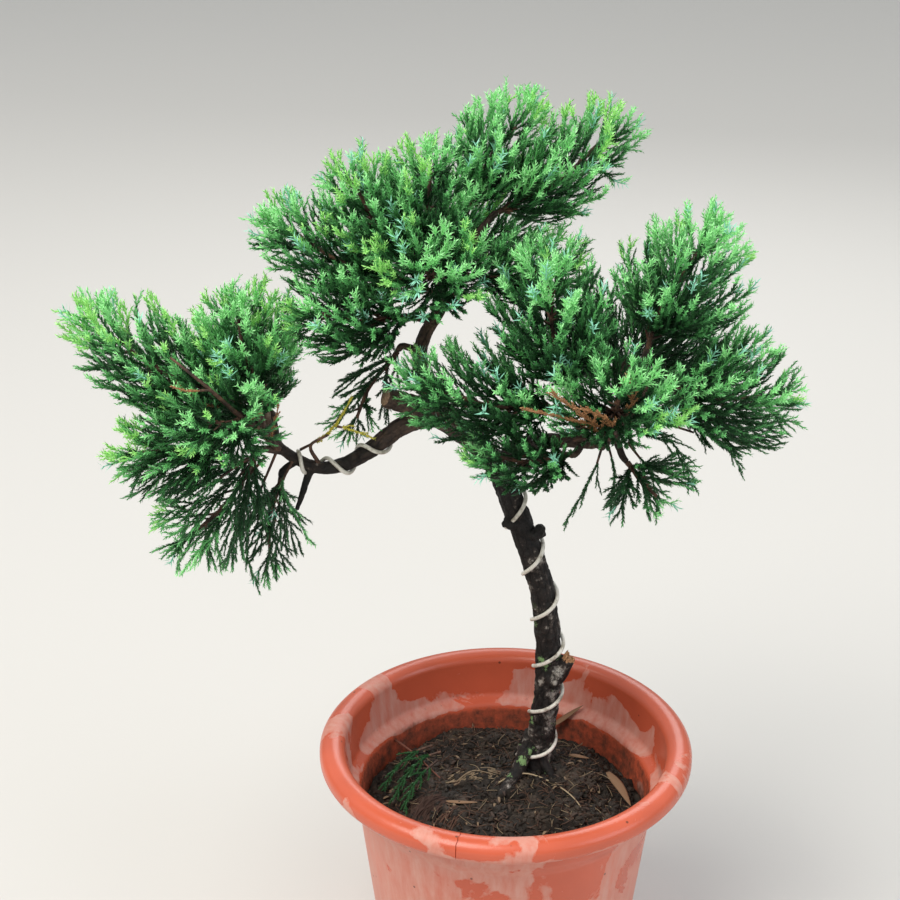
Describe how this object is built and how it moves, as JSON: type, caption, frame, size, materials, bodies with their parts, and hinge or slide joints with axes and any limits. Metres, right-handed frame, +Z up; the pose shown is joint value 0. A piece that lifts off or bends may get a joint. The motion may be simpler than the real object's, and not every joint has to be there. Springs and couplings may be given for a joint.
{
  "type": "juniper bonsai in a pot",
  "caption": "Trained juniper with a wired, curving trunk that carries three airy clouds of needles, standing in a round flat-bottomed plastic pot of soil.",
  "frame": {"origin": "middle of the pot's flat underside", "axes": "+Z up along the pot's axis, -Y towards the viewer that the plant was trained to face, +X to that viewer's right"},
  "size_m": [0.4529, 0.25, 0.6198],
  "materials": {
    "pot": "satin, scuffed and wet in places",
    "soil": "matte, crumbly, damp",
    "bark": "rough bark",
    "wire": "dull white coating",
    "foliage": "matte needles"
  },
  "bodies": {
    "root": {"bough_left": "bark", "bough_right": "bark", "bough_top": "bark", "bough_wire": "wire", "foliage_left_back": "foliage", "foliage_left_crest": "foliage", "foliage_left_fall": "foliage", "foliage_left_front": "foliage", "foliage_left_side": "foliage", "foliage_left_skirt": "foliage", "foliage_left_tip": "foliage", "foliage_right_back": "foliage", "foliage_right_crest": "foliage", "foliage_right_far": "foliage", "foliage_right_front": "foliage", "foliage_right_left": "foliage", "foliage_right_low": "foliage", "foliage_right_mid": "foliage", "foliage_right_skirt": "foliage", "foliage_top_back": "foliage", "foliage_top_crest": "foliage", "foliage_top_droop": "foliage", "foliage_top_front": "foliage", "foliage_top_left": "foliage", "foliage_top_low_left": "foliage", "foliage_top_low_right": "foliage", "foliage_top_mid": "foliage", "foliage_top_right": "foliage", "foliage_top_shoulder": "foliage", "limb_left_back": "bark", "limb_left_crest": "bark", "limb_left_fall": "bark", "limb_left_front": "bark", "limb_left_side": "bark", "limb_left_skirt": "bark", "limb_right_back": "bark", "limb_right_far": "bark", "limb_right_front": "bark", "limb_right_left": "bark", "limb_right_low": "bark", "limb_right_mid": "bark", "limb_right_skirt": "bark", "limb_top_back": "bark", "limb_top_crest": "bark", "limb_top_droop": "bark", "limb_top_front": "bark", "limb_top_left": "bark", "limb_top_low_left": "bark", "limb_top_low_right": "bark", "limb_top_right": "bark", "limb_top_shoulder": "bark", "pot": "pot", "soil": "soil", "trunk": "bark", "trunk_wire": "wire"}
  },
  "joints": []
}
